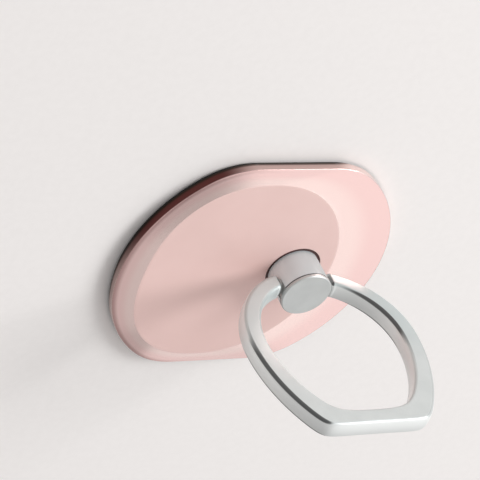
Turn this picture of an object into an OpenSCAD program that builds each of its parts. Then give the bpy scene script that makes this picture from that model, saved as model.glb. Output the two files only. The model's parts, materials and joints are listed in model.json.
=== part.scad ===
// Phone ring holder: a stick-on plate with round ends and straight sides, a
// turning post set off its middle, and a D ring that folds about the post.
// Units are millimetres. The origin is the middle of the adhesive face, +X runs
// along the straight sides towards the post, and +Z points away from the phone.

/* [Plate] */
// Length over the round ends
plate_l = 40; // [37:0.5:46]
// Width over the straight sides
plate_w = 36; // [34.5:0.5:38]
// Radius that blends each round end into the straight sides
plate_blend_r = 10.8; // [8:0.2:13]
// Height of the upright side wall
plate_side_h = 1.2; // [1:0.1:1.8]
// Rise of the sloping border from the side wall to the raised field
border_rise = 0.65; // [0.4:0.05:1]
// Ledge between the side wall and the foot of the sloping border
rim_ledge = 0.12; // [0.05:0.01:0.3]
// Length of the raised field
field_l = 29; // [26:0.5:31]
// Width of the raised field
field_w = 31.4; // [28:0.2:32.4]
// Distance of the raised field's middle behind the plate's middle
field_back = 3; // [1.5:0.25:3.5]
// Distance of the post's axis in front of the plate's middle
post_forward = 5.9; // [4:0.1:7]

/* [Underside] */
// Thickness of the adhesive pad
pad_t = 0.5; // [0.3:0.05:1]
// Distance of the pad's edge inside the side wall
pad_inset = 0.35; // [0.2:0.05:1]
// Thickness of the cover sheet that closes the underside
cover_t = 0.25; // [0.2:0.05:0.3]
// Width of the side wall's foot around the cover sheet
foot_w = 1; // [0.8:0.1:1.6]
// Play between the cover sheet and the foot around it
cover_play = 0.05; // [0.02:0.01:0.15]
// Width of the seat that the cover sheet rests on
cover_seat_w = 1.2; // [0.8:0.1:2]
// Depth of the wide hollow above the cover sheet
hollow_h = 0.5; // [0.3:0.05:0.55]
// Radius of the round pocket around the post's axis
pocket_r = 5.2; // [5:0.1:6]

/* [Swivel] */
// Radius of the post's foot where it turns in the bush
stem_r = 2.4; // [2:0.1:2.6]
// Running play of the stem in the swivel bush, at the radius
stem_play = 0.05; // [0.02:0.01:0.09]
// Wall of the swivel bush's sleeve
bush_wall = 0.45; // [0.3:0.05:0.6]
// Thickness of the swivel bush's flange
bush_flange_t = 0.4; // [0.3:0.05:0.5]
// Distance of the bush's flange below the raised field
bush_sunk = 0.08; // [0:0.01:0.15]
// Play of the bush's flange in its seat, at the radius
bush_seat_play = 0.03; // [0.01:0.01:0.1]
// Width of the dark ring that shows around the post
bush_show_w = 0.34; // [0.2:0.02:0.5]
// End play of the post above the bush's flange
post_lift = 0.03; // [0.02:0.01:0.06]
// Thickness of the rivet's flange
rivet_flange_t = 0.3; // [0.2:0.05:0.35]
// Radius of the rivet's flange
rivet_flange_r = 4.7; // [4:0.1:4.8]
// Radius of the rivet's shank in the post
rivet_shank_r = 1.2; // [0.8:0.1:1.4]
// Length of the rivet's shank in the post
rivet_shank_l = 2.2; // [1.5:0.1:2.6]
// Gap between the rivet's flange and the cover sheet
rivet_gap = 0.05; // [0.02:0.01:0.1]
// Room for the wave washer above the rivet's flange
wave_room = 0.3; // [0.25:0.01:0.35]
// Sheet thickness of the wave washer
wave_t = 0.1; // [0.06:0.01:0.14]
// Number of waves around the wave washer
wave_count = 3; // [2:1:6]
// Play of the wave washer around the stem
wave_play = 0.15; // [0.1:0.05:0.3]
// Radius of the wave washer's outer edge
wave_r = 4.5; // [4:0.1:4.7]

/* [Post] */
// Radius of the post
post_r = 3.6; // [3.2:0.1:4]
// Height of the post's top above the raised field
post_h = 4.8; // [4.4:0.1:5.6]
// Height of the hinge axis above the raised field
hinge_h = 2.87; // [2.7:0.01:3.1]
// Thickness of the end cap's disc
cap_t = 0.45; // [0.35:0.05:0.6]
// Chamfer around the end cap and the post's upper edge
cap_chamfer = 0.14; // [0.08:0.01:0.2]

/* [Hinge] */
// Radius of the ring's trunnions
trunnion_r = 0.7; // [0.5:0.05:0.75]
// Running play of a trunnion in its bush, at the radius
trunnion_play = 0.05; // [0.02:0.01:0.09]
// Wall of a hinge bush's sleeve
hinge_bush_wall = 0.3; // [0.2:0.05:0.4]
// Radius of a hinge bush's flange
hinge_flange_r = 1.14; // [1:0.02:1.2]
// Gap between the post and each end of the ring
ring_end_gap = 0.32; // [0.28:0.02:0.5]
// Play on each side of a hinge bush's flange
hinge_flange_play = 0.04; // [0.02:0.01:0.08]
// Half the web left between the two hinge bushes
web_half = 0.6; // [0.3:0.1:1]
// Gap between a trunnion's tip and the web
trunnion_tip_gap = 0.1; // [0.05:0.05:0.3]

/* [Ring] */
// Outer width of the ring
ring_w = 25.75; // [24:0.25:29]
// Depth of the ring's ends below the hinge axis
end_drop = 1.2; // [1.15:0.05:1.5]
// Height of the ring's ends above the hinge axis
end_rise = 1.55; // [1.2:0.05:1.8]
// Height of the foot bar's outer face above the hinge axis
ring_l = 25.75; // [23:0.25:29]
// Length of the foot bar's flat face
ring_foot_l = 15.4; // [12:0.2:19]
// Thickness of the ring across its flat faces
ring_t = 2.65; // [2.3:0.05:3]
// Inner width of the ring
gap_w = 20.6; // [19:0.2:22]
// Height of the foot bar's inner face above the hinge axis
gap_l = 23.25; // [21:0.05:24.3]
// Length of the flat at the gap's end
gap_foot_l = 10; // [7:0.2:13]
// Rounding of the ring's long edges
edge_r = 0.52; // [0.3:0.02:0.6]
// Rounding of the ring's outer edges beside the post, where they are softest
end_edge_r = 0.8; // [0.6:0.05:0.9]
// Rounding of the ring's two ends beside the post
nose_r = 0.45; // [0.2:0.05:0.55]

/* [Hidden] */

// Facets of a full round and of one round that a hull blends
round_fn = 96;
hull_fn = 120;
// Overlap of a cutter past the face that it cuts
cut = 0.1;
// Sheet thickness of a hull's flat children
film = 0.01;

// Heights of the plate, counted from the adhesive face
wall_z = pad_t + plate_side_h;
field_z = wall_z + border_rise;
cover_z = pad_t + cover_t;
hollow_z = cover_z + hollow_h;

// Heights of the swivel
rivet_z = cover_z + rivet_gap;
stem_z = rivet_z + rivet_flange_t;
pocket_z = stem_z + wave_room;
flange_z = field_z - bush_sunk;
flange_seat_z = flange_z - bush_flange_t;
post_z = flange_z + post_lift;
bush_r = stem_r + stem_play + bush_wall;
flange_r = post_r + bush_show_w;

// Heights of the post and the hinge
top_z = field_z + post_h;
cap_z = top_z - cap_t;
hinge_z = field_z + hinge_h;
trunnion_bore_r = trunnion_r + trunnion_play;
hinge_sleeve_r = trunnion_bore_r + hinge_bush_wall;
ring_end_x = post_r + ring_end_gap;

// Heights of the widest points of the ring and of its gap, above the hinge axis
end_x = ring_end_x + nose_r;
ring_wide_h = sqrt(pow(ring_w / 2, 2) - pow(end_x, 2)) - end_drop;
gap_wide_h = sqrt(pow(gap_w / 2, 2) - pow(end_x, 2)) + end_rise;

// Outline of the plate and of everything that lies inside it, drawn at an inset
module plate_outline(inset) {
    end_r = plate_l / 2 - inset;
    side_y = plate_w / 2 - inset;
    blend_r = plate_blend_r - inset;
    blend_y = side_y - blend_r;
    blend_x = sqrt(pow(end_r - blend_r, 2) - pow(blend_y, 2));
    meet_y = end_r * blend_y / (end_r - blend_r);
    intersection() {
        circle(r = end_r, $fn = hull_fn);
        square([2 * end_r, 2 * meet_y], center = true);
    }
    square([2 * blend_x, 2 * side_y], center = true);
    for (sx = [-1, 1], sy = [-1, 1])
        translate([sx * blend_x, sy * blend_y]) circle(r = blend_r, $fn = hull_fn);
}

// Points of the raised field's oval edge
field_points = [for (i = [0 : hull_fn - 1])
    let (a = 360 * i / hull_fn)
    [field_l / 2 * cos(a) - field_back, field_w / 2 * sin(a)]];

// Places a child on the post's axis at a height
module on_post(z) {
    translate([post_forward, 0, z]) children();
}

// Places a child on the hinge axis with its own +Z along the row's +X
module on_hinge(x) {
    translate([post_forward + x, 0, hinge_z]) rotate([0, 90, 0]) children();
}

// Die-cast plate: side wall, sloping border, raised field and hollow underside
module base_plate() {
    color([0.90, 0.76, 0.73])
    difference() {
        union() {
            translate([0, 0, pad_t]) linear_extrude(plate_side_h) plate_outline(0);
            hull() {
                translate([0, 0, wall_z - film]) linear_extrude(film) plate_outline(rim_ledge);
                translate([0, 0, field_z - film]) linear_extrude(film) polygon(field_points);
            }
        }
        translate([0, 0, pad_t - cut])
            linear_extrude(cover_t + cut) plate_outline(foot_w);
        translate([0, 0, pad_t - cut])
            linear_extrude(cover_t + hollow_h + cut) plate_outline(foot_w + cover_seat_w);
        on_post(pad_t - cut)
            cylinder(r = pocket_r, h = pocket_z - pad_t + cut, $fn = round_fn);
        on_post(pad_t)
            cylinder(r = bush_r, h = field_z, $fn = round_fn);
        on_post(flange_seat_z)
            cylinder(r = flange_r + bush_seat_play, h = field_z, $fn = round_fn);
    }
}

// Steel sheet that closes the plate's underside and carries the pad
module back_cover() {
    color([0.70, 0.70, 0.71])
    translate([0, 0, pad_t]) linear_extrude(cover_t) plate_outline(foot_w + cover_play);
}

// Adhesive pad that holds the plate on the phone
module adhesive_pad() {
    color([0.22, 0.21, 0.21])
    linear_extrude(pad_t) plate_outline(pad_inset);
}

// Nylon bush in the plate: the sleeve guides the stem, the flange carries the post
module swivel_bush() {
    color([0.24, 0.13, 0.12])
    difference() {
        union() {
            on_post(pocket_z) cylinder(r = bush_r, h = flange_z - pocket_z, $fn = round_fn);
            on_post(flange_seat_z) cylinder(r = flange_r, h = bush_flange_t, $fn = round_fn);
        }
        on_post(pocket_z - cut)
            cylinder(r = stem_r + stem_play, h = field_z, $fn = round_fn);
    }
}

// Slot in the post's top that the two hinge bushes drop into
module hinge_slot(top) {
    translate([post_forward, 0, (hinge_z + top) / 2])
        cube([2 * ring_end_x, 2 * hinge_sleeve_r, top - hinge_z], center = true);
}

// Round bed of the two hinge bushes, with the web left between them
module hinge_bed() {
    for (side = [-1, 1])
        on_hinge(side > 0 ? web_half : -ring_end_x)
            cylinder(r = hinge_sleeve_r, h = ring_end_x - web_half, $fn = round_fn);
}

// Turned post with its stem and its slot for the hinge
module knob_post() {
    color([0.80, 0.81, 0.80])
    difference() {
        union() {
            on_post(post_z) cylinder(r = post_r, h = cap_z - cap_chamfer - post_z, $fn = round_fn);
            on_post(cap_z - cap_chamfer)
                cylinder(r1 = post_r, r2 = post_r - cap_chamfer, h = cap_chamfer, $fn = round_fn);
            on_post(stem_z) cylinder(r = stem_r, h = post_z - stem_z, $fn = round_fn);
        }
        hinge_slot(cap_z + cut);
        hinge_bed();
        on_post(stem_z - cut)
            cylinder(r = rivet_shank_r, h = rivet_shank_l + cut, $fn = round_fn);
    }
}

// End cap: a disc with a key that fills the slot and holds the bushes down
module knob_cap() {
    color([0.82, 0.83, 0.82])
    difference() {
        union() {
            on_post(cap_z) cylinder(r = post_r, h = cap_t - cap_chamfer, $fn = round_fn);
            on_post(top_z - cap_chamfer)
                cylinder(r1 = post_r, r2 = post_r - cap_chamfer, h = cap_chamfer, $fn = round_fn);
            intersection() {
                hinge_slot(cap_z + cap_t / 2);
                on_post(post_z)
                    cylinder(r = post_r - cap_chamfer, h = post_h, $fn = round_fn);
            }
        }
        hinge_bed();
    }
}

// Rivet pressed up into the stem: its flange holds the post down on the plate
module swivel_rivet() {
    color([0.62, 0.62, 0.64])
    on_post(rivet_z) {
        cylinder(r = rivet_flange_r, h = rivet_flange_t, $fn = round_fn);
        cylinder(r = rivet_shank_r, h = rivet_flange_t + rivet_shank_l, $fn = round_fn);
    }
}

// Wave washer: a ring of spring sheet whose height follows a sine around it
wave_inner_r = stem_r + wave_play;
wave_amp = (wave_room - wave_t) / 2 - film;
wave_steps = 72;
function wave_point(i, r, side) =
    let (a = 360 * i / wave_steps)
    [r * cos(a), r * sin(a), wave_amp * sin(wave_count * a) + side * wave_t / 2];
wave_points = [for (i = [0 : wave_steps - 1])
    each [wave_point(i, wave_inner_r, -1), wave_point(i, wave_r, -1),
          wave_point(i, wave_r, 1), wave_point(i, wave_inner_r, 1)]];
wave_faces = [for (i = [0 : wave_steps - 1], k = [0 : 3])
    let (next = 4 * ((i + 1) % wave_steps), here = 4 * i, l = (k + 1) % 4)
    each [[here + k, here + l, next + l], [here + k, next + l, next + k]]];
module wave_washer() {
    color([0.66, 0.67, 0.70])
    on_post(stem_z + wave_room / 2)
        polyhedron(points = wave_points, faces = wave_faces);
}

// Nylon bush of one side of the hinge, with a flange between post and ring
module hinge_bush(side) {
    flange_x = post_r + hinge_flange_play;
    flange_end_x = ring_end_x - hinge_flange_play;
    color([0.55, 0.55, 0.54])
    difference() {
        union() {
            on_hinge(side > 0 ? web_half : -flange_end_x)
                cylinder(r = hinge_sleeve_r, h = flange_end_x - web_half, $fn = round_fn);
            on_hinge(side > 0 ? flange_x : -flange_end_x)
                cylinder(r = hinge_flange_r, h = flange_end_x - flange_x, $fn = round_fn);
        }
        on_hinge(side > 0 ? web_half - cut : -flange_end_x - cut)
            cylinder(r = trunnion_bore_r, h = flange_end_x - web_half + 2 * cut, $fn = round_fn);
    }
}
module hinge_bush_left() { hinge_bush(-1); }
module hinge_bush_right() { hinge_bush(1); }

// Radius of a D outline at an angle from straight down, seen from its widest
// height: a round hinge side, two flatter flanks and a straight foot
function flank_r(w, wide_h, l, foot_l) =
    let (a = (w - foot_l) / 2, b = l - wide_h)
    (a * a + b * b) / (2 * a);
function d_radius(t, w, wide_h, l, foot_l, sharp) =
    let (flank = flank_r(w, wide_h, l, foot_l),
         back = flank - w / 2,
         side = -back * abs(sin(t)) + sqrt(flank * flank - pow(back * cos(t), 2)),
         foot = (l - wide_h) / max(-cos(t), film))
    t < 90 || t > 270 ? w / 2 : pow(pow(side, -sharp) + pow(foot, -sharp), -1 / sharp);
function d_point(t, w, wide_h, l, foot_l, sharp) =
    let (r = d_radius(t, w, wide_h, l, foot_l, sharp))
    [-r * sin(t), wide_h - r * cos(t)];

// How sharp the foot's outer and inner corners are
outer_sharp = 30;
inner_sharp = 17;

// Angles at which each outline starts beside the post and turns its corner
outer_start = asin(end_x / (ring_w / 2));
inner_start = asin(end_x / (gap_w / 2));
outer_corner = 180 - atan2(ring_foot_l / 2, ring_l - ring_wide_h);
inner_corner = 180 - atan2(gap_foot_l / 2, gap_l - gap_wide_h);

// Stations along half of the ring, as shares from the end to the foot's middle
flank_steps = 36;
corner_shares = [0.97, 0.982, 0.991, 1, 1.035, 1.08, 1.14, 1.25, 1.4, 1.7, 2];
half_shares = concat([for (i = [0 : flank_steps - 1]) corner_shares[0] * i / flank_steps],
    corner_shares);
function station_angle(share, start, corner) =
    share <= 1 ? start + (corner - start) * share : corner + (180 - corner) * (share - 1);
function outer_at(share) =
    d_point(station_angle(share, outer_start, outer_corner),
            ring_w, ring_wide_h, ring_l, ring_foot_l, outer_sharp);
function inner_at(share) =
    d_point(station_angle(share, inner_start, inner_corner),
            gap_w, gap_wide_h, gap_l, gap_foot_l, inner_sharp);

// Rounding of an edge along the ring, from its size at the end to edge_r
soft_share = 0.45;
function edge_at(share, end_r) =
    edge_r + (end_r - edge_r) * (1 + cos(180 * min(1, share / soft_share))) / 2;

// Rounded section at a station, shrunk by an inset
corner_steps = 5;
section_n = 4 * (corner_steps + 1);
function section(share, inset) =
    let (outer = outer_at(share),
         inner = inner_at(share),
         mid = (outer + inner) / 2,
         wide = norm(outer - inner),
         dir = (outer - inner) / wide,
         outer_r = max(film, edge_at(share, end_edge_r) - inset),
         inner_r = max(film, edge_at(share, (end_edge_r + edge_r) / 2) - inset))
    [for (q = [0 : 3], k = [0 : corner_steps])
        let (a = 90 * q + 90 * k / corner_steps,
             on_outer = q == 0 || q == 3,
             r = on_outer ? outer_r : inner_r,
             p = (on_outer ? 1 : -1) * (wide / 2 - inset - r) + r * cos(a),
             y = (q < 2 ? 1 : -1) * (ring_t / 2 - inset - r) + r * sin(a))
        [mid.x + dir.x * p, y, mid.y + dir.y * p]];

// Rounded end beside the post: the first section, moved in and shrunk
nose_steps = 4;
function nose_section(k) =
    let (a = 90 * (nose_steps - k) / nose_steps, shift = nose_r * sin(a))
    [for (p = section(0, nose_r * (1 - cos(a)))) p + [shift, 0, 0]];

// Half of the ring from the left end to the foot, then the other half mirrored
half_sections = concat(
    [for (k = [0 : nose_steps - 1]) nose_section(k)],
    [for (share = half_shares) section(share, 0)]);
half_n = len(half_sections);
ring_sections = concat(half_sections,
    [for (i = [1 : half_n - 1])
        [for (p = half_sections[half_n - 1 - i]) [-p.x, p.y, p.z]]]);
ring_n = len(ring_sections);
ring_points = [for (ring_section = ring_sections) each ring_section];
ring_side_faces = [for (i = [0 : ring_n - 2], k = [0 : section_n - 1])
    let (here = i * section_n, next = here + section_n, l = (k + 1) % section_n)
    each [[here + k, next + l, next + k], [here + k, here + l, next + l]]];
ring_faces = concat(ring_side_faces,
    [[for (k = [section_n - 1 : -1 : 0]) k],
     [for (k = [0 : section_n - 1]) (ring_n - 1) * section_n + k]]);

// D ring with its foot bar and a trunnion on each end
module ring() {
    color([0.81, 0.82, 0.81]) {
        translate([post_forward, 0, hinge_z])
            polyhedron(points = ring_points, faces = ring_faces);
        for (side = [-1, 1])
            on_hinge(side > 0 ? web_half + trunnion_tip_gap : -end_x)
                cylinder(r = trunnion_r, h = end_x - web_half - trunnion_tip_gap, $fn = round_fn);
    }
}

base_plate();
back_cover();
adhesive_pad();
swivel_bush();
knob_post();
knob_cap();
swivel_rivet();
wave_washer();
hinge_bush_left();
hinge_bush_right();
ring();
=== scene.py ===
"""Looks of the phone ring holder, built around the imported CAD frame.

Everything is in metres in the row frame: +Z points away from the phone, and +X runs
along the plate's straight sides towards the post.
"""

import json
import math

import bmesh
import bpy
from mathutils import Matrix, Vector

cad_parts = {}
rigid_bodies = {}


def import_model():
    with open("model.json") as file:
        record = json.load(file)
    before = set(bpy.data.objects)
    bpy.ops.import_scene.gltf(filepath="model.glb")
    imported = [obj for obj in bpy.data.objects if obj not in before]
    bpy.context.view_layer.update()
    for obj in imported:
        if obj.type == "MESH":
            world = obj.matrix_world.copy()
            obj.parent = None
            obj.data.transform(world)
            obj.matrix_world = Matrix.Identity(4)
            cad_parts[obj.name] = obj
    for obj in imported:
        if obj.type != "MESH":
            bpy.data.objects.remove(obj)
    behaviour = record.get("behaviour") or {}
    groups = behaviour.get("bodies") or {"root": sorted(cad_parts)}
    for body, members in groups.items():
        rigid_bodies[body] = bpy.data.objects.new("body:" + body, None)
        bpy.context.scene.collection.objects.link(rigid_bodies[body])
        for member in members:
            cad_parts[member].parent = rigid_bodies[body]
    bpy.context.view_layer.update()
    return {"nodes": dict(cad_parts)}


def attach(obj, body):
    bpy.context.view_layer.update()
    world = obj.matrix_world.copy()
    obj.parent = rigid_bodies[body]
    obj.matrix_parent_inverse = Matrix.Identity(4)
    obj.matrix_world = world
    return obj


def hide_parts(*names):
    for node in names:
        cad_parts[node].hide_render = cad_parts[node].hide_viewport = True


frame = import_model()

MM = 0.001
TINY = 1e-9
NORMAL_WEIGHT = 90

# Camera: the photograph's viewpoint, with a longer lens that fills the frame
CAMERA_AIM = Vector((-2.68, 3.59, 0.0)) * MM
CAMERA_DISTANCE = 359.3 * MM
CAMERA_AZIMUTH = math.radians(218.94)
CAMERA_ELEVATION = math.radians(37.46)
CAMERA_ROLL = math.radians(152.32)
PHOTO_LENS = 84.9
LENS_GAIN = 2.4
SENSOR_WIDTH = 36
CLIP_START = 0.01
CLIP_END = 20

# Lamps: name, direction from the part, distance and size in metres, radiance
LAMPS = (
    ("border_light", (0.60, -0.40, 0.69), 1.0, 0.72, 0.57),
    ("rear_light", (0.22, -0.68, 0.70), 1.0, 0.45, 0.12),
    ("key_light", (0.69, 0.49, 0.535), 1.0, 0.45, 8.2),
    ("fill_light", (0.69, 0.49, 0.535), 1.1, 0.95, 1.2),
    ("low_light", (0.52, -0.82, 0.22), 1.0, 0.4, 0.34),
)
WORLD_COLOUR = (1.0, 0.985, 0.98)
WORLD_LEVEL = 0.46
FLOOR_SIZE = 6.0

# Plate: a wall, a sloping border and a raised field that is longer at the front
PLATE_L = 40 * MM
PLATE_W = 36 * MM
PLATE_BLEND_R = 10.8 * MM
FIELD_L = 29 * MM
FIELD_W = 31.4 * MM
FIELD_BACK = 3 * MM
FIELD_FRONT_FULL = 2
FIELD_REAR_L = 13.6 * MM
FIELD_REAR_FULL = 2.3
RIM_LEDGE = 0.12 * MM
POST_X = 5.9 * MM
SEAM_Z = 6.7 * MM
PAD_Z = 0.5 * MM
WALL_Z = 1.7 * MM
FIELD_Z = 2.35 * MM
FOOT_W = 1.0 * MM
COVER_SEAT_W = 1.2 * MM
COVER_T = 0.25 * MM
HOLLOW_H = 0.5 * MM
POCKET_R = 5.2 * MM
POCKET_Z = 1.4 * MM
BUSH_R = 2.9 * MM
BUSH_SEAT_R = 3.97 * MM
BUSH_SEAT_Z = 1.87 * MM
FIELD_EDGE_R = 0.10 * MM
FIELD_EDGE_REACH = 3
WALL_EDGE_R = 0.10 * MM
WALL_EDGE_REACH = 0.7
SEAT_EDGE_R = 0.05 * MM
FOOT_CHAMFER = 0.04 * MM
EDGE_STEPS = 4
SEAT_EDGE_STEPS = 3
BORDER_SHARES = (0.02, 0.1, 0.3, 0.5, 0.7, 0.9)
BORDER_END_SHARE = 0.965
FIELD_SHARES = (0, 0.25, 0.5, 0.75, 0.97)
OUTLINE_STEPS = 66
FLAT_STEPS = 16
FLAT_LEAN = math.radians(3)

# Ring, with heights counted from the hinge axis
HINGE_Z = 5.22 * MM
RING_W = 25.75 * MM
RING_L = 25.75 * MM
RING_FOOT_L = 15.4 * MM
RING_T = 2.65 * MM
GAP_W = 20.6 * MM
GAP_L = 23.25 * MM
GAP_FOOT_L = 10 * MM
END_X = 4.37 * MM
END_DROP = 1.2 * MM
END_RISE = 1.55 * MM
RING_WIDE_H = math.sqrt((RING_W / 2) ** 2 - END_X ** 2) - END_DROP
GAP_WIDE_H = math.sqrt((GAP_W / 2) ** 2 - END_X ** 2) + END_RISE
OUTER_START = math.asin(END_X / (RING_W / 2))
INNER_START = math.asin(END_X / (GAP_W / 2))
OUTER_CORNER = math.pi - math.atan2(RING_FOOT_L / 2, RING_L - RING_WIDE_H)
INNER_CORNER = math.pi - math.atan2(GAP_FOOT_L / 2, GAP_L - GAP_WIDE_H)
EDGE_R = 0.52 * MM
END_EDGE_R = 0.8 * MM
SOFT_SHARE = 0.45
NOSE_R = 0.45 * MM
SIDE_LEAN = math.radians(8)
OUTER_SHARP = 30
INNER_SHARP = 17
FOOT_MIN_COS = 0.01
CROWN_STEPS = 6
CORNER_STEPS = 12
NOSE_STEPS = 10
FLANK_STEPS = 120
FLANK_END_SHARE = 0.965
FOOT_SHARES = (0.975, 0.985, 0.992, 1, 1.01, 1.03, 1.06, 1.1, 1.2, 1.35, 1.5, 1.65, 1.8, 2)

# Trunnions: pins from inside the hinge bushes to inside the ring's ends
TRUNNION_R = 0.7 * MM
TRUNNION_TIP_X = 0.7 * MM
TRUNNION_ROOT_X = END_X - 0.1 * MM
TRUNNION_CHAMFER = 0.06 * MM
TRUNNION_STEPS = 48

# Finishes. Tones are a darker and a lighter colour that noise mixes. A span is the low
# and the high value between which a surface changes, in metres for H, X and Y, and in
# parts of the unit normal for NX, NY and NZ.
SILVER_CLOUD_SPAN = (0.35, 0.65)
SILVER_ROUGHNESS_STEP = 0.04
SILVER_BUMP = 0.12

POST_TONES = ((0.75, 0.83, 0.85), (0.78, 0.86, 0.88))
POST_METALLIC = 0.3
POST_ROUGHNESS = 0.52
# the post's painted shade on the side towards the key lamp, and painted light on the opposite side
POST_SHADE_TOWARDS = (0.777, 0.629)
POST_PAINTED_LIGHT_TONE = (0.92, 0.97, 0.98)
POST_PAINTED_LIGHT_SPAN = (-0.9, 0.1)
POST_PAINTED_SHADE_TONE = (0.49, 0.55, 0.56)
POST_PAINTED_SHADE_SPAN = (0.1, 0.95)
SEAM_TONE = (0.09, 0.094, 0.094)
SEAM_LOW_H = (SEAM_Z - 0.2 * MM, SEAM_Z - 0.14 * MM)
SEAM_HIGH_H = (SEAM_Z + 0.01 * MM, SEAM_Z + 0.04 * MM)
CAP_TONES = ((0.56, 0.575, 0.567), (0.60, 0.615, 0.607))
CAP_METALLIC = 0.45
CAP_ROUGHNESS = 0.46

RING_TONES = ((0.635, 0.67, 0.665), (0.67, 0.705, 0.70))
RING_METALLIC = 0.4
RING_ROUGHNESS = 0.42
# painted shade on the ring's plating near the post
RING_POST_SHADE_TONE = (0.56, 0.63, 0.63)
RING_POST_SHADE_H = (12 * MM, 22 * MM)
RING_POST_SHADE_SHARE = 0.8
EDGE_FACE_NY = (0.35, 0.75)
# painted sheen on the ring's edge faces: a painted highlight towards +Y, with painted shade beside
# the post
PAINTED_SHEEN_TONES = ((0.77, 0.79, 0.78), (0.93, 0.95, 0.94))
PAINTED_SHEEN_Y = (-1.2 * MM, 1.1 * MM)
SHEEN_POST_SHADE_TONE = (0.58, 0.63, 0.63)
SHEEN_POST_SHADE_H = (8 * MM, 14 * MM)
SHEEN_POST_SHADE_NX = (0.0, 0.4)
# painted dark reflection lines along the ring's long edges, narrower beside the post
REFLECTION_LINE_TONE = (0.12, 0.124, 0.124)
REFLECTION_LINE_SPAN = (0.2, 0.54)
REFLECTION_LINE_NZ = (-0.12, 0.08)
REFLECTION_LINE_NX = (0.0, 0.35)
REFLECTION_LINE_NX_SHARE = 0.2
REFLECTION_LINE_POST_H = (6 * MM, 12 * MM)
REFLECTION_LINE_POST_NARROWING = 0.2

PLATE_FIELD_H = (FIELD_Z - 0.03 * MM, FIELD_Z - 0.01 * MM)
PLATE_WALL_NZ = (0.55, 0.93)
PLATE_ROUGHNESS_STEPS = (-0.02, 0.03)
PLATE_BUMP = 0.08
FIELD_TONES = ((0.89, 0.637, 0.596), (0.92, 0.667, 0.626))
FIELD_METALLIC = 0.25
FIELD_ROUGHNESS = 0.6
# the border's painted reflection, paler towards the field
BORDER_PAINTED_REFLECTION_TONES = ((0.95, 0.675, 0.645), (0.98, 0.76, 0.717))
BORDER_REFLECTION_H = (WALL_Z + 0.2 * MM, FIELD_Z - 0.15 * MM)
BORDER_METALLIC = 1.0
BORDER_ROUGHNESS = 0.18
# painted shade along the border's rear foot
RIM_SHADE_TONE = (0.28, 0.14, 0.13)
RIM_SHADE_H = (WALL_Z, WALL_Z + 0.17 * MM)
RIM_SHADE_X = (-15 * MM, 0)
RIM_SHADE_SHARE = 0.6
# the wall's painted reflection: light, middle and dark tones by the way the wall faces
WALL_PAINTED_REFLECTION_TONES = ((0.95, 0.76, 0.72), (0.62, 0.45, 0.42), (0.11, 0.036, 0.033))
WALL_REFLECTION_LIGHT_SPAN = (-0.6, 0.0)
WALL_REFLECTION_DARK_SPAN = (0.0, 1.05)
WALL_NX_SHARE = 0.35
# painted shadow along the wall's foot, on its darker sides
WALL_FOOT_SHADOW_TONE = (0.03, 0.026, 0.02)
WALL_FOOT_SHADOW_H = (PAD_Z + 0.18 * MM, PAD_Z + 0.5 * MM)
WALL_FOOT_SHADOW_SHARE = 0.85

FLOOR_TONES = ((0.925, 0.895, 0.88), (0.94, 0.91, 0.895))
FLOOR_ROUGHNESS = 0.7
FLOOR_SPECULAR = 0.2

# Plain finishes: tones and roughness of a plastic, and of a metal with its noise scale
PLASTICS = {
    "brown_nylon": ((0.050, 0.012, 0.011), (0.070, 0.018, 0.016), 0.5),
    "grey_nylon": ((0.34, 0.34, 0.335), (0.40, 0.40, 0.39), 0.5),
    "pad_foam": ((0.02, 0.019, 0.019), (0.035, 0.033, 0.033), 0.8),
}
PLASTIC_ROUGHNESS_STEP = 0.05
PLASTIC_BUMP = 0.3
METALS = {
    "sheet_steel": ((0.55, 0.55, 0.56), (0.66, 0.66, 0.67), (0.3, 0.42), 400),
    "rivet_steel": ((0.5, 0.5, 0.51), (0.6, 0.6, 0.61), (0.25, 0.4), 700),
    "spring_steel": ((0.42, 0.43, 0.45), (0.52, 0.53, 0.56), (0.2, 0.32), 900),
}

# Noises: scale and detail, and what they share
SILVER_GRAIN = (9000, 2.0)
SILVER_CLOUD = (260, 3.0)
PLATE_GRAIN = (7000, 2.0)
PLATE_CLOUD = (90, 3.0)
PLASTIC_GRAIN = (5200, 4.0)
METAL_DETAIL = 4.0
FLOOR_TOOTH = (900, 4.0)
NOISE_ROUGHNESS = 0.55
NOISE_SPAN = (0.3, 0.7)
BUMP_DISTANCE = 0.02 * MM


# Mesh helpers

def piece_from_loops(name, loops, closed_run=False, caps=False):
    """Skins closed loops of equally many points, and returns the smooth-shaded object."""
    count = len(loops[0])
    verts = [point for loop in loops for point in loop]
    faces = []
    runs = len(loops) if closed_run else len(loops) - 1
    for i in range(runs):
        here = i * count
        there = ((i + 1) % len(loops)) * count
        for k in range(count):
            k2 = (k + 1) % count
            faces.append((here + k, here + k2, there + k2, there + k))
    if caps:
        last = (len(loops) - 1) * count
        faces.append(tuple(range(count - 1, -1, -1)))
        faces.append(tuple(last + k for k in range(count)))
    mesh = bpy.data.meshes.new(name)
    mesh.from_pydata([tuple(v) for v in verts], [], faces)
    skin = bmesh.new()
    skin.from_mesh(mesh)
    bmesh.ops.recalc_face_normals(skin, faces=skin.faces)
    skin.to_mesh(mesh)
    skin.free()
    mesh.polygons.foreach_set("use_smooth", [True] * len(mesh.polygons))
    obj = bpy.data.objects.new(name, mesh)
    bpy.context.scene.collection.objects.link(obj)
    return obj


def flatten_normals(obj):
    """Keeps flat faces flat beside their rounded edges."""
    weighted = obj.modifiers.new("weighted_normals", "WEIGHTED_NORMAL")
    weighted.weight = NORMAL_WEIGHT
    weighted.keep_sharp = True


# Base plate: one closed skin of loops, from the wall over the top to the underside

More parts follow.
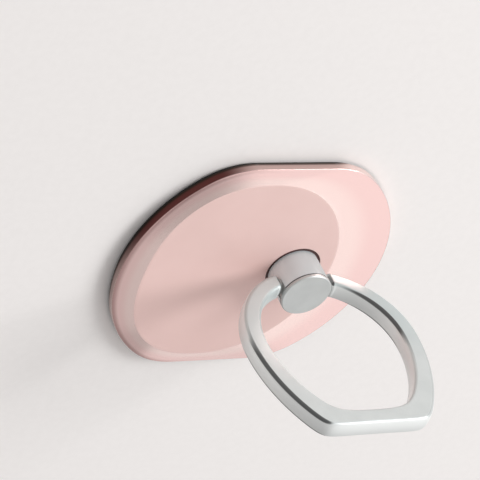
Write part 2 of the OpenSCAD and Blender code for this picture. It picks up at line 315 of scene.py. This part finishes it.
def outline_stations():
    """Pairs of (outline normal, place along the straight side) around the plate."""
    stations = []
    for half in range(2):
        start = -90 + 180 * half
        for i in range(OUTLINE_STEPS):
            stations.append((math.radians(start + 180 * (i + 0.5) / OUTLINE_STEPS), 0.0))
        for i in range(FLAT_STEPS + 1):
            stations.append((math.radians(start + 180), 1 - 2 * i / FLAT_STEPS))
    return stations


def outline_loop(inset, z):
    """The plate's outline at an inset: end arcs, blend arcs and straight sides."""
    end_r = PLATE_L / 2 - inset
    side_y = PLATE_W / 2 - inset
    blend_r = PLATE_BLEND_R - inset
    blend_y = side_y - blend_r
    blend_x = math.sqrt((end_r - blend_r) ** 2 - blend_y ** 2)
    switch = math.atan2(blend_y, blend_x)
    points = []
    for normal, side in outline_stations():
        nx, ny = math.cos(normal), math.sin(normal)
        if side or abs(nx) < TINY:
            sign = 1 if ny > 0 else -1
            points.append((side * blend_x * sign, sign * side_y, z))
        elif abs(math.atan2(ny, abs(nx))) <= switch:
            points.append((end_r * nx, end_r * ny, z))
        else:
            points.append((math.copysign(blend_x, nx) + blend_r * nx,
                           math.copysign(blend_y, ny) + blend_r * ny, z))
    return points


def oval_lean(normal, side):
    """The direction in which the field's edge meets a station of the outline."""
    nx, ny = math.cos(normal), math.sin(normal)
    if side or abs(nx) < TINY:
        sign = 1 if ny > 0 else -1
        return sign * math.pi / 2 - side * FLAT_LEAN
    share = (math.pi / 2 - FLAT_LEAN) / (math.pi / 2)
    folded = math.atan2(ny, abs(nx)) * share
    return folded if nx > 0 else math.pi - folded


def oval_loop(inset, z):
    """The raised field's edge, paired with the outline by its normal: fuller at the rear."""
    b = FIELD_W / 2 - inset
    points = []
    for normal, side in outline_stations():
        lean = oval_lean(normal, side)
        front = math.cos(lean) > 0
        a = (FIELD_L / 2 if front else FIELD_REAR_L) - inset
        full = FIELD_FRONT_FULL if front else FIELD_REAR_FULL
        step = full / (full - 1)
        reach_x = a * (a * abs(math.cos(lean))) ** (step - 1)
        reach_y = b * (b * abs(math.sin(lean))) ** (step - 1)
        size = (reach_x * abs(math.cos(lean)) + reach_y * abs(math.sin(lean))) ** (1 / full)
        x = math.copysign(reach_x / size, math.cos(lean))
        y = math.copysign(reach_y / size, math.sin(lean))
        points.append((x - FIELD_BACK, y, z))
    return points


def post_loop(r, z):
    """A circle around the post, with as many points as the outline."""
    points = []
    for x, y, _ in oval_loop(0, 0):
        t = math.atan2(y, x - POST_X)
        points.append((POST_X + r * math.cos(t), r * math.sin(t), z))
    return points


def lerp_loop(a, b, share):
    """A loop part of the way from one loop to another."""
    return [tuple(p + (q - p) * share for p, q in zip(u, v)) for u, v in zip(a, b)]


def border_loop(share):
    """A loop on the sloping border, from its foot at 0 to the field's edge at 1."""
    return lerp_loop(outline_loop(RIM_LEDGE, WALL_Z), oval_loop(0, FIELD_Z), share)


def rounded(a, b, c, steps):
    """Loops of a curve from a to c that leaves towards b and arrives from it."""
    loops = []
    for i in range(steps + 1):
        s = i / steps
        loops.append(lerp_loop(lerp_loop(a, b, s), lerp_loop(b, c, s), s))
    return loops


def plate_top_loops():
    """The wall's upper edge, the border, the field's edge and the field."""
    loops = rounded(outline_loop(0, WALL_Z - WALL_EDGE_R), outline_loop(0, WALL_Z),
                    outline_loop(RIM_LEDGE * WALL_EDGE_REACH, WALL_Z), EDGE_STEPS)
    loops += [border_loop(share) for share in BORDER_SHARES]
    loops += rounded(border_loop(BORDER_END_SHARE), oval_loop(0, FIELD_Z),
                     oval_loop(FIELD_EDGE_R, FIELD_Z), EDGE_STEPS)
    field_inner = oval_loop(FIELD_EDGE_R * FIELD_EDGE_REACH, FIELD_Z)
    seat_edge = post_loop(BUSH_SEAT_R + SEAT_EDGE_R, FIELD_Z)
    loops += [lerp_loop(field_inner, seat_edge, share) for share in FIELD_SHARES]
    return loops


def plate_inner_loops():
    """The bush's seat, its bore, the hollow underside and the wall's foot."""
    hollow_z = PAD_Z + COVER_T + HOLLOW_H
    loops = rounded(post_loop(BUSH_SEAT_R + SEAT_EDGE_R, FIELD_Z), post_loop(BUSH_SEAT_R, FIELD_Z),
                    post_loop(BUSH_SEAT_R, FIELD_Z - SEAT_EDGE_R), SEAT_EDGE_STEPS)
    for r, z in ((BUSH_SEAT_R, BUSH_SEAT_Z), (BUSH_R, BUSH_SEAT_Z), (BUSH_R, POCKET_Z),
                 (POCKET_R, POCKET_Z), (POCKET_R, hollow_z)):
        loops.append(post_loop(r, z))
    for inset, z in ((FOOT_W + COVER_SEAT_W, hollow_z), (FOOT_W + COVER_SEAT_W, PAD_Z + COVER_T),
                     (FOOT_W, PAD_Z + COVER_T), (FOOT_W, PAD_Z), (FOOT_CHAMFER, PAD_Z),
                     (0, PAD_Z + FOOT_CHAMFER)):
        loops.append(outline_loop(inset, z))
    return loops


def build_plate():
    """The plate's finer stand-in."""
    plate = piece_from_loops("plate_body", plate_top_loops() + plate_inner_loops(), closed_run=True)
    flatten_normals(plate)
    return plate


# Ring: rounded sections along a D, with a trunnion on each end

def flank_radius(width, wide_h, length, foot_l):
    """Radius of the arc from the D's widest height to its foot."""
    a = (width - foot_l) / 2
    b = length - wide_h
    return (a * a + b * b) / (2 * a)


def d_point(t, width, wide_h, length, foot_l, sharp):
    """A point of a D outline, at an angle from straight down seen from its widest height."""
    if t < math.pi / 2:
        r = width / 2
    else:
        flank = flank_radius(width, wide_h, length, foot_l)
        back = flank - width / 2
        side = -back * math.sin(t) + math.sqrt(flank ** 2 - (back * math.cos(t)) ** 2)
        foot = (length - wide_h) / max(-math.cos(t), FOOT_MIN_COS)
        r = side * (1 + (side / foot) ** sharp) ** (-1 / sharp)
    return Vector((-r * math.sin(t), 0, wide_h - r * math.cos(t)))


def station_angle(share, start, corner):
    """Angle of a station: from the ring's end at 0 to the corner at 1 and mid-foot at 2."""
    if share <= 1:
        return start + (corner - start) * share
    return corner + (math.pi - corner) * (share - 1)


def outer_at(share):
    """The outer outline's point at a station."""
    t = station_angle(share, OUTER_START, OUTER_CORNER)
    return d_point(t, RING_W, RING_WIDE_H, RING_L, RING_FOOT_L, OUTER_SHARP)


def inner_at(share):
    """The gap outline's point at a station."""
    t = station_angle(share, INNER_START, INNER_CORNER)
    return d_point(t, GAP_W, GAP_WIDE_H, GAP_L, GAP_FOOT_L, INNER_SHARP)


def edge_at(share, end_r):
    """Rounding of an edge along the ring: softest beside the post."""
    fade = (1 + math.cos(math.pi * min(1, share / SOFT_SHARE))) / 2
    return EDGE_R + (end_r - EDGE_R) * fade


def crowned_side(half_w, half_t, r):
    """One side of the section: a slightly crowned face with a rounding at each end."""
    crown_t = half_t - r * (1 - math.sin(SIDE_LEAN))
    crown_r = crown_t / math.sin(SIDE_LEAN)
    edge_w = half_w - (crown_r - r) * (1 - math.cos(SIDE_LEAN)) - r
    edge_t = half_t - r
    upper = []
    for k in range(CROWN_STEPS):
        a = SIDE_LEAN * k / CROWN_STEPS
        upper.append((half_w - crown_r * (1 - math.cos(a)), crown_r * math.sin(a)))
    for k in range(CORNER_STEPS + 1):
        a = SIDE_LEAN + (math.pi / 2 - SIDE_LEAN) * k / CORNER_STEPS
        upper.append((edge_w + r * math.cos(a), edge_t + r * math.sin(a)))
    return [(w, -t) for w, t in reversed(upper[1:])] + upper


def ring_section(share, inset=0.0, shift=0.0):
    """Rounded rectangle at a station of the ring, shrunk by an inset."""
    outer = outer_at(share)
    inner = inner_at(share)
    mid = (outer + inner) / 2
    along = (outer - inner).normalized()
    half_w = (outer - inner).length / 2 - inset
    half_t = RING_T / 2 - inset
    outer_r = edge_at(share, END_EDGE_R) - inset
    inner_r = edge_at(share, (END_EDGE_R + EDGE_R) / 2) - inset
    profile = crowned_side(half_w, half_t, outer_r)
    profile += [(-w, -t) for w, t in crowned_side(half_w, half_t, inner_r)]
    points = []
    for w, t in profile:
        p = mid + along * w
        points.append(Vector((p.x + shift, t, p.z)))
    return points


def nose_sections():
    """Sections of the ring's rounded end, from its tip to the first full section."""
    sections = []
    for k in range(NOSE_STEPS):
        a = math.pi / 2 * (NOSE_STEPS - k) / NOSE_STEPS
        sections.append(ring_section(0, NOSE_R * (1 - math.cos(a)), NOSE_R * math.sin(a)))
    return sections


def build_ring():
    """The ring's finer stand-in, with its two trunnions as children."""
    shares = [FLANK_END_SHARE * i / FLANK_STEPS for i in range(FLANK_STEPS + 1)]
    half = nose_sections() + [ring_section(share) for share in (*shares, *FOOT_SHARES)]
    mirrored = [[Vector((-p.x, p.y, p.z)) for p in loop] for loop in reversed(half[:-1])]
    offset = Vector((POST_X, 0, HINGE_Z))
    loops = [[p + offset for p in loop] for loop in half + mirrored]
    body = piece_from_loops("ring_body", loops, caps=True)
    flatten_normals(body)
    for side in (-1, 1):
        pin = build_trunnion(side)
        pin.parent = body
    return body


def build_trunnion(side):
    """A pin with a chamfered tip, on the left (-1) or the right (1) of the post."""
    profile = [(TRUNNION_TIP_X, TRUNNION_R - TRUNNION_CHAMFER),
               (TRUNNION_TIP_X + TRUNNION_CHAMFER, TRUNNION_R), (TRUNNION_ROOT_X, TRUNNION_R)]
    turns = [2 * math.pi * k / TRUNNION_STEPS for k in range(TRUNNION_STEPS)]
    loops = []
    for x, r in profile:
        loops.append([(POST_X + side * x, side * r * math.cos(t), HINGE_Z + r * math.sin(t))
                      for t in turns])
    name = "ring_pin_right" if side > 0 else "ring_pin_left"
    pin = piece_from_loops(name, loops, caps=True)
    flatten_normals(pin)
    return pin


# Node helpers

def new_material(name):
    """A material with its node tree and its shader."""
    material = bpy.data.materials.new(name)
    material.use_nodes = True
    tree = material.node_tree
    return material, tree, tree.nodes["Principled BSDF"]


def add_node(tree, kind, **settings):
    """A node with its settings."""
    node = tree.nodes.new(kind)
    for key, value in settings.items():
        setattr(node, key, value)
    return node


def object_coords(tree):
    """The surface's place in the object's own space, which is the row frame at rest."""
    return add_node(tree, "ShaderNodeTexCoord").outputs["Object"]


def object_normal(tree):
    """The surface's normal in the object's own space."""
    return add_node(tree, "ShaderNodeTexCoord").outputs["Normal"]


def axis_of(tree, vector, axis):
    """One component of a vector."""
    node = add_node(tree, "ShaderNodeSeparateXYZ")
    tree.links.new(vector, node.inputs[0])
    return node.outputs[axis]


def noise(tree, scale, detail):
    """Noise between 0 and 1."""
    node = add_node(tree, "ShaderNodeTexNoise")
    node.inputs["Scale"].default_value = scale
    node.inputs["Detail"].default_value = detail
    node.inputs["Roughness"].default_value = NOISE_ROUGHNESS
    tree.links.new(object_coords(tree), node.inputs["Vector"])
    return node.outputs["Fac"]


def map_range(tree, value, span, to_low=0.0, to_high=1.0):
    """A smooth step from to_low, at the span's low end, to to_high, at its high end."""
    node = add_node(tree, "ShaderNodeMapRange", interpolation_type="SMOOTHSTEP")
    tree.links.new(value, node.inputs["Value"])
    limits = {"From Min": span[0], "From Max": span[1], "To Min": to_low, "To Max": to_high}
    for name, number in limits.items():
        node.inputs[name].default_value = number
    return node.outputs["Result"]


def math_node(tree, operation, *values):
    """The result of an operation on numbers and sockets."""
    node = add_node(tree, "ShaderNodeMath", operation=operation)
    for socket, value in zip(node.inputs, values):
        if isinstance(value, (int, float)):
            socket.default_value = value
        else:
            tree.links.new(value, socket)
    return node.outputs["Value"]


def times(tree, a, b):
    """The product of two values."""
    return math_node(tree, "MULTIPLY", a, b)


def mix_colour(tree, factor, a, b):
    """Colour a where the factor is 0 and colour b where it is 1."""
    node = add_node(tree, "ShaderNodeMix", data_type="RGBA")
    tree.links.new(factor, node.inputs[0])
    for socket, value in ((node.inputs[6], a), (node.inputs[7], b)):
        if isinstance(value, tuple):
            socket.default_value = (*value, 1)
        else:
            tree.links.new(value, socket)
    return node.outputs[2]


def ramp(tree, value, span, a, b):
    """Colour a at the span's low end, turning smoothly into colour b at its high end."""
    return mix_colour(tree, map_range(tree, value, span), a, b)


def bump(tree, height, strength):
    """A normal that the fine relief of a noise tilts."""
    node = add_node(tree, "ShaderNodeBump")
    node.inputs["Strength"].default_value = strength
    node.inputs["Distance"].default_value = BUMP_DISTANCE
    tree.links.new(height, node.inputs["Height"])
    return node.outputs["Normal"]


# Silver of the post, its cap and the ring

def satin_silver(name, tones, metallic, roughness):
    """Satin plating with a fine blasted grain."""
    material, tree, shader = new_material(name)
    grain = noise(tree, *SILVER_GRAIN)
    base = ramp(tree, noise(tree, *SILVER_CLOUD), SILVER_CLOUD_SPAN, *tones)
    rough = map_range(tree, grain, NOISE_SPAN, roughness - SILVER_ROUGHNESS_STEP,
                      roughness + SILVER_ROUGHNESS_STEP)
    tree.links.new(base, shader.inputs["Base Color"])
    tree.links.new(rough, shader.inputs["Roughness"])
    tree.links.new(bump(tree, grain, SILVER_BUMP), shader.inputs["Normal"])
    shader.inputs["Metallic"].default_value = metallic
    return material, tree, shader, base


def post_painted_shading(tree, base):
    """Painted shade on the side that faces POST_SHADE_TOWARDS, towards the key lamp, and painted
    light on the opposite side, which evens out how the lamps light the post.
    """
    normal = object_normal(tree)
    turned = math_node(tree, "ADD",
                       times(tree, axis_of(tree, normal, "X"), POST_SHADE_TOWARDS[0]),
                       times(tree, axis_of(tree, normal, "Y"), POST_SHADE_TOWARDS[1]))
    base = ramp(tree, turned, POST_PAINTED_LIGHT_SPAN, POST_PAINTED_LIGHT_TONE, base)
    return ramp(tree, turned, POST_PAINTED_SHADE_SPAN, base, POST_PAINTED_SHADE_TONE)


def post_silver():
    """The post's plating, with a darker seam where the cap meets it."""
    material, tree, shader, base = satin_silver(
        "post_silver", POST_TONES, POST_METALLIC, POST_ROUGHNESS)
    height = axis_of(tree, object_coords(tree), "Z")
    seam = times(tree, map_range(tree, height, SEAM_LOW_H),
                 map_range(tree, height, SEAM_HIGH_H, 1, 0))
    # painted shade and painted light across the post's side, then the dark seam
    base = mix_colour(tree, seam, post_painted_shading(tree, base), SEAM_TONE)
    tree.links.new(base, shader.inputs["Base Color"])
    return material


def ring_painted_sheen(tree, normal, place):
    """Painted sheen on the ring's edge faces: a painted highlight that grows lighter towards +Y,
    with painted shade beside the post.
    """
    sheen = ramp(tree, axis_of(tree, place, "Y"), PAINTED_SHEEN_Y, *PAINTED_SHEEN_TONES)
    shade_beside_post = times(tree, map_range(tree, axis_of(tree, place, "Z"), SHEEN_POST_SHADE_H, 1, 0),
                        map_range(tree, axis_of(tree, normal, "X"), SHEEN_POST_SHADE_NX))
    return mix_colour(tree, shade_beside_post, sheen, SHEEN_POST_SHADE_TONE)


def diagonal_share(tree, normal):
    """1 where a face points halfway between the X and Y axes, 0 where it points along one."""
    product = times(tree, axis_of(tree, normal, "X"), axis_of(tree, normal, "Y"))
    return times(tree, math_node(tree, "ABSOLUTE", product), 2.0)


def painted_reflection_line_mask(tree, normal, height):
    """The painted dark reflection along the ring's rounded edges, narrower beside the post."""
    narrowing = map_range(tree, height, REFLECTION_LINE_POST_H, REFLECTION_LINE_POST_NARROWING, 0)
    share = math_node(tree, "SUBTRACT", diagonal_share(tree, normal), narrowing)
    line = map_range(tree, share, REFLECTION_LINE_SPAN)
    line = times(tree, line, map_range(tree, axis_of(tree, normal, "Z"), REFLECTION_LINE_NZ))
    faint = map_range(tree, axis_of(tree, normal, "X"), REFLECTION_LINE_NX, 1, REFLECTION_LINE_NX_SHARE)
    return times(tree, line, faint)


def ring_silver():
    """The ring's plating, with painted dark reflections along its long edges, a painted sheen on
    its edge faces and painted shade near the post.
    """
    material, tree, shader, base = satin_silver(
        "ring_silver", RING_TONES, RING_METALLIC, RING_ROUGHNESS)
    normal = object_normal(tree)
    place = object_coords(tree)
    height = axis_of(tree, place, "Z")
    # painted shade on the plating near the post
    painted_shade_near_post = map_range(tree, height, RING_POST_SHADE_H, RING_POST_SHADE_SHARE, 0)
    base = mix_colour(tree, painted_shade_near_post, base, RING_POST_SHADE_TONE)
    # the edge faces take the painted sheen, a painted highlight with painted shade beside the post
    front = math_node(tree, "ABSOLUTE", axis_of(tree, normal, "Y"))
    is_edge_face = map_range(tree, front, EDGE_FACE_NY, 1, 0)
    base = mix_colour(tree, is_edge_face, base, ring_painted_sheen(tree, normal, place))
    # painted dark reflection lines along the long edges
    base = mix_colour(tree, painted_reflection_line_mask(tree, normal, height), base, REFLECTION_LINE_TONE)
    tree.links.new(base, shader.inputs["Base Color"])
    return material


# Rose gold of the plate

def plate_field(tree):
    """The raised field's satin plating."""
    return ramp(tree, noise(tree, *PLATE_CLOUD), NOISE_SPAN, *FIELD_TONES)


def plate_border(tree, place, height):
    """The polished border: a painted reflection, paler towards the field, with a rim of painted
    shade at its rear foot.
    """
    # painted reflection, paler towards the field
    border = ramp(tree, height, BORDER_REFLECTION_H, *BORDER_PAINTED_REFLECTION_TONES)
    # painted shade along the border's rear foot
    rim = times(tree, map_range(tree, height, RIM_SHADE_H, RIM_SHADE_SHARE, 0),
                map_range(tree, axis_of(tree, place, "X"), RIM_SHADE_X, 1, 0))
    return mix_colour(tree, rim, border, RIM_SHADE_TONE)


def wall_shade(tree, normal):
    """How dark the wall's painted reflection is: highest where the wall faces between -X and +Y,
    lowest between +X and +Y.
    """
    nx = axis_of(tree, normal, "X")
    turned = times(tree, times(tree, nx, axis_of(tree, normal, "Y")), -2.0)
    return math_node(tree, "SUBTRACT", turned, times(tree, nx, WALL_NX_SHARE))


def plate_wall(tree, normal, height):
    """The polished wall: a painted reflection, darker where its shade is high, and a painted shadow
    along its foot.
    """
    shade = wall_shade(tree, normal)
    light, middle, dark = WALL_PAINTED_REFLECTION_TONES
    # painted reflection by the way the wall faces
    wall = ramp(tree, shade, WALL_REFLECTION_LIGHT_SPAN, light, middle)
    wall = ramp(tree, shade, WALL_REFLECTION_DARK_SPAN, wall, dark)
    # painted shadow along the wall's foot
    foot = times(tree, map_range(tree, height, WALL_FOOT_SHADOW_H, 1, 0),
                 map_range(tree, shade, WALL_REFLECTION_LIGHT_SPAN, 0, WALL_FOOT_SHADOW_SHARE))
    return mix_colour(tree, foot, wall, WALL_FOOT_SHADOW_TONE)


def rose_gold_plate():
    """Satin field, polished border and a darker polished side wall, with painted reflections and
    painted shade on the border and the wall.
    """
    material, tree, shader = new_material("rose_gold")
    place = object_coords(tree)
    normal = object_normal(tree)
    height = axis_of(tree, place, "Z")
    grain = noise(tree, *PLATE_GRAIN)
    is_field = map_range(tree, height, PLATE_FIELD_H)
    is_wall = map_range(tree, axis_of(tree, normal, "Z"), PLATE_WALL_NZ, 1, 0)
    colour = mix_colour(tree, is_field, plate_border(tree, place, height), plate_field(tree))
    colour = mix_colour(tree, is_wall, colour, plate_wall(tree, normal, height))
    rough = math_node(tree, "ADD",
                      map_range(tree, is_field, (0, 1), BORDER_ROUGHNESS, FIELD_ROUGHNESS),
                      map_range(tree, grain, NOISE_SPAN, *PLATE_ROUGHNESS_STEPS))
    metallic = map_range(tree, is_field, (0, 1), BORDER_METALLIC, FIELD_METALLIC)
    tree.links.new(colour, shader.inputs["Base Color"])
    tree.links.new(rough, shader.inputs["Roughness"])
    tree.links.new(bump(tree, grain, PLATE_BUMP), shader.inputs["Normal"])
    tree.links.new(metallic, shader.inputs["Metallic"])
    return material


# Plain finishes

def plain_metal(name):
    """Bare sheet metal with a slightly uneven finish."""
    dark, light, roughness, scale = METALS[name]
    material, tree, shader = new_material(name)
    cloud = noise(tree, scale, METAL_DETAIL)
    tree.links.new(ramp(tree, cloud, NOISE_SPAN, dark, light), shader.inputs["Base Color"])
    tree.links.new(map_range(tree, cloud, NOISE_SPAN, *roughness), shader.inputs["Roughness"])
    shader.inputs["Metallic"].default_value = 1.0
    return material


def moulded_plastic(name):
    """Matt moulded nylon or foam with a fine grain."""
    dark, light, roughness = PLASTICS[name]
    material, tree, shader = new_material(name)
    grain = noise(tree, *PLASTIC_GRAIN)
    rough = map_range(tree, grain, NOISE_SPAN, roughness - PLASTIC_ROUGHNESS_STEP,
                      roughness + PLASTIC_ROUGHNESS_STEP)
    tree.links.new(ramp(tree, grain, NOISE_SPAN, dark, light), shader.inputs["Base Color"])
    tree.links.new(rough, shader.inputs["Roughness"])
    tree.links.new(bump(tree, grain, PLASTIC_BUMP), shader.inputs["Normal"])
    return material


def floor_material():
    """Pale card with a barely visible tooth."""
    material, tree, shader = new_material("floor_card")
    base = ramp(tree, noise(tree, *FLOOR_TOOTH), NOISE_SPAN, *FLOOR_TONES)
    tree.links.new(base, shader.inputs["Base Color"])
    shader.inputs["Roughness"].default_value = FLOOR_ROUGHNESS
    shader.inputs["Specular IOR Level"].default_value = FLOOR_SPECULAR
    return material


def give(obj, material):
    """Makes a material the only one of an object."""
    obj.data.materials.clear()
    obj.data.materials.append(material)


# Camera, lights, floor

def build_camera():
    """The photograph's viewpoint, with its roll."""
    ca, sa = math.cos(CAMERA_AZIMUTH), math.sin(CAMERA_AZIMUTH)
    ce, se = math.cos(CAMERA_ELEVATION), math.sin(CAMERA_ELEVATION)
    back = Vector((sa * ce, -ca * ce, se))
    right = Vector((ca, sa, 0))
    up = back.cross(right)
    axes = Matrix((right, up, back)).transposed().to_4x4()
    data = bpy.data.cameras.new("camera")
    data.lens = PHOTO_LENS * LENS_GAIN
    data.sensor_width = SENSOR_WIDTH
    data.clip_start = CLIP_START
    data.clip_end = CLIP_END
    camera = bpy.data.objects.new("camera", data)
    place = Matrix.Translation(CAMERA_AIM + back * CAMERA_DISTANCE)
    camera.matrix_world = place @ axes @ Matrix.Rotation(CAMERA_ROLL, 4, "Z")
    bpy.context.scene.collection.objects.link(camera)
    bpy.context.scene.camera = camera


def build_floor():
    """The pale floor that the pad lies on."""
    mesh = bpy.data.meshes.new("floor")
    h = FLOOR_SIZE / 2
    mesh.from_pydata([(-h, -h, 0), (h, -h, 0), (h, h, 0), (-h, h, 0)], [], [(0, 1, 2, 3)])
    floor = bpy.data.objects.new("floor", mesh)
    bpy.context.scene.collection.objects.link(floor)
    give(floor, floor_material())


def softbox(name, direction, distance, size, radiance):
    """A square lamp of a stated brightness that faces the part."""
    data = bpy.data.lights.new(name, "AREA")
    data.shape = "SQUARE"
    data.size = size
    data.energy = radiance * math.pi * size ** 2
    lamp = bpy.data.objects.new(name, data)
    away = Vector(direction).normalized()
    lamp.location = away * distance
    lamp.rotation_euler = away.to_track_quat("Z", "Y").to_euler()
    bpy.context.scene.collection.objects.link(lamp)


def build_lights():
    """The softboxes and an even world around them."""
    for lamp in LAMPS:
        softbox(*lamp)
    world = bpy.data.worlds.new("studio")
    world.use_nodes = True
    background = world.node_tree.nodes["Background"]
    background.inputs["Color"].default_value = (*WORLD_COLOUR, 1)
    background.inputs["Strength"].default_value = WORLD_LEVEL
    bpy.context.scene.world = world


# The part

def dress_nodes():
    """Materials of the CAD nodes that stay as they are."""
    nodes = frame["nodes"]
    give(nodes["knob_post"], post_silver())
    give(nodes["knob_cap"], satin_silver("cap_silver", CAP_TONES, CAP_METALLIC, CAP_ROUGHNESS)[0])
    give(nodes["swivel_bush"], moulded_plastic("brown_nylon"))
    grey = moulded_plastic("grey_nylon")
    give(nodes["hinge_bush_left"], grey)
    give(nodes["hinge_bush_right"], grey)
    give(nodes["adhesive_pad"], moulded_plastic("pad_foam"))
    give(nodes["back_cover"], plain_metal("sheet_steel"))
    give(nodes["swivel_rivet"], plain_metal("rivet_steel"))
    give(nodes["wave_washer"], plain_metal("spring_steel"))


def dress_pieces():
    """The two pieces that stand for CAD nodes."""
    plate = build_plate()
    give(plate, rose_gold_plate())
    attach(plate, "base")
    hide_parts("base_plate")

    ring = build_ring()
    silver = ring_silver()
    give(ring, silver)
    for pin in ring.children:
        give(pin, silver)
    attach(ring, "ring")
    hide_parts("ring")


build_camera()
build_floor()
build_lights()
dress_nodes()
dress_pieces()

scene = bpy.context.scene
scene.view_settings.view_transform = "Standard"
